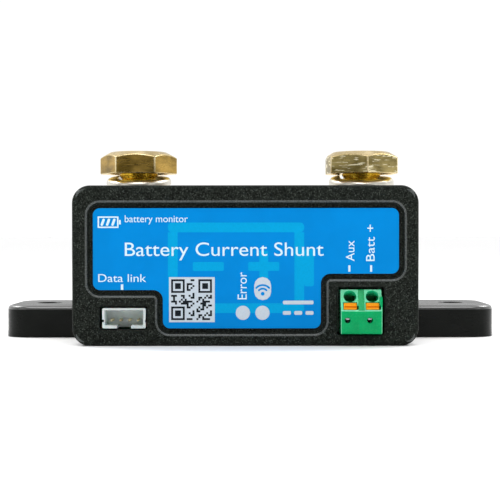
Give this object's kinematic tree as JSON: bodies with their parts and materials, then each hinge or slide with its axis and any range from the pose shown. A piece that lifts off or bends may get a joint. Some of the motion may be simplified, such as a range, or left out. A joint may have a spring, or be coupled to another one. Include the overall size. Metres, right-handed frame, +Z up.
{
  "type": "battery monitor shunt",
  "caption": "Battery monitor shunt: brass terminal blocks with hexagon bolts joined by resistor plates on a screw-down base, with a labelled electronics housing along the front.",
  "frame": {"origin": "middle of the overall box in plan, on the surface it is screwed to", "axes": "+X along the length from the battery bolt to the load bolt, +Y from the label to the back, +Z up out of the base"},
  "size_m": [0.12, 0.054, 0.046],
  "materials": {
    "black_moulding": "smooth, fairly glossy",
    "black_textured": "fine spark-eroded grain, matt",
    "brass": "machined, lightly tarnished",
    "manganin": "rolled sheet, satin",
    "plated_steel": "nickel plated, satin",
    "label_blue": "printed film, satin",
    "socket_white": "moulded nylon, satin",
    "terminal_green": "moulded nylon, satin",
    "button_orange": "moulded nylon, satin",
    "board_green": "solder resist, semi-gloss",
    "chip_black": "moulded epoxy, matt",
    "gold": "gold flash, smooth",
    "clear_plastic": "frosted clear"
  },
  "bodies": {
    "root": {"mounting_base": "black_moulding", "terminal_block_battery": "brass", "terminal_block_load": "brass", "resistor_plate_1": "manganin", "resistor_plate_2": "manganin", "resistor_plate_3": "manganin", "resistor_plate_4": "manganin", "block_screw_1": "plated_steel", "block_screw_2": "plated_steel", "block_screw_3": "plated_steel", "block_screw_4": "plated_steel", "flat_washer_battery": "plated_steel", "flat_washer_load": "plated_steel", "housing_shell": "black_textured", "housing_back": "black_textured", "housing_screw_1": "plated_steel", "housing_screw_2": "plated_steel", "housing_screw_3": "plated_steel", "housing_screw_4": "plated_steel", "front_label": "label_blue", "circuit_board": "board_green", "sense_standoff_1": "brass", "sense_standoff_2": "brass", "sense_standoff_3": "brass", "sense_standoff_4": "brass", "board_screw_1": "plated_steel", "board_screw_2": "plated_steel", "board_screw_3": "plated_steel", "board_screw_4": "plated_steel", "radio_module": "chip_black", "microcontroller": "chip_black", "sense_amplifier": "chip_black", "voltage_regulator": "chip_black", "power_inductor": "chip_black", "lamp_error": "clear_plastic", "lamp_radio": "clear_plastic", "light_guide_error": "clear_plastic", "light_guide_radio": "clear_plastic", "data_socket": "socket_white", "data_pin_1": "gold", "data_pin_2": "gold", "data_pin_3": "gold", "data_pin_4": "gold", "clamp_body": "terminal_green", "clamp_spring_aux": "plated_steel", "clamp_spring_battery": "plated_steel", "clamp_contact_aux": "plated_steel", "clamp_contact_battery": "plated_steel"},
    "battery_washer": {"spring_washer_battery": "plated_steel"},
    "battery_bolt": {"terminal_bolt_battery": "brass"},
    "load_washer": {"spring_washer_load": "plated_steel"},
    "load_bolt": {"terminal_bolt_load": "brass"},
    "aux_button": {"release_button_aux": "button_orange"},
    "battery_button": {"release_button_battery": "button_orange"}
  },
  "joints": [
    {"name": "battery_bolt_lift", "type": "slide", "parent": "root", "child": "battery_washer", "axis": [0, 0, 1], "range_m": [0, 0.0165]},
    {"name": "battery_bolt_turn", "type": "hinge", "parent": "battery_washer", "child": "battery_bolt", "pos_m": [-0.0283, 0.013, 0.0404], "axis": [0, 0, 1], "range_deg": [0, 3961]},
    {"name": "load_bolt_lift", "type": "slide", "parent": "root", "child": "load_washer", "axis": [0, 0, 1], "range_m": [0, 0.0165]},
    {"name": "load_bolt_turn", "type": "hinge", "parent": "load_washer", "child": "load_bolt", "pos_m": [0.0283, 0.013, 0.0404], "axis": [0, 0, 1], "range_deg": [0, 3961]},
    {"name": "aux_button_press", "type": "slide", "parent": "root", "child": "aux_button", "axis": [0, 0.8926, -0.4509], "range_m": [0, 0.0012], "stiffness_N_per_m": 800, "springref_m": -0.0005},
    {"name": "battery_button_press", "type": "slide", "parent": "root", "child": "battery_button", "axis": [0, 0.8926, -0.4509], "range_m": [0, 0.0012], "stiffness_N_per_m": 800, "springref_m": -0.0005}
  ],
  "couplings": [
    {"joint": "battery_bolt_turn", "follows": "battery_bolt_lift", "rad_per_m": 4188.8},
    {"joint": "load_bolt_turn", "follows": "load_bolt_lift", "rad_per_m": 4188.8}
  ]
}
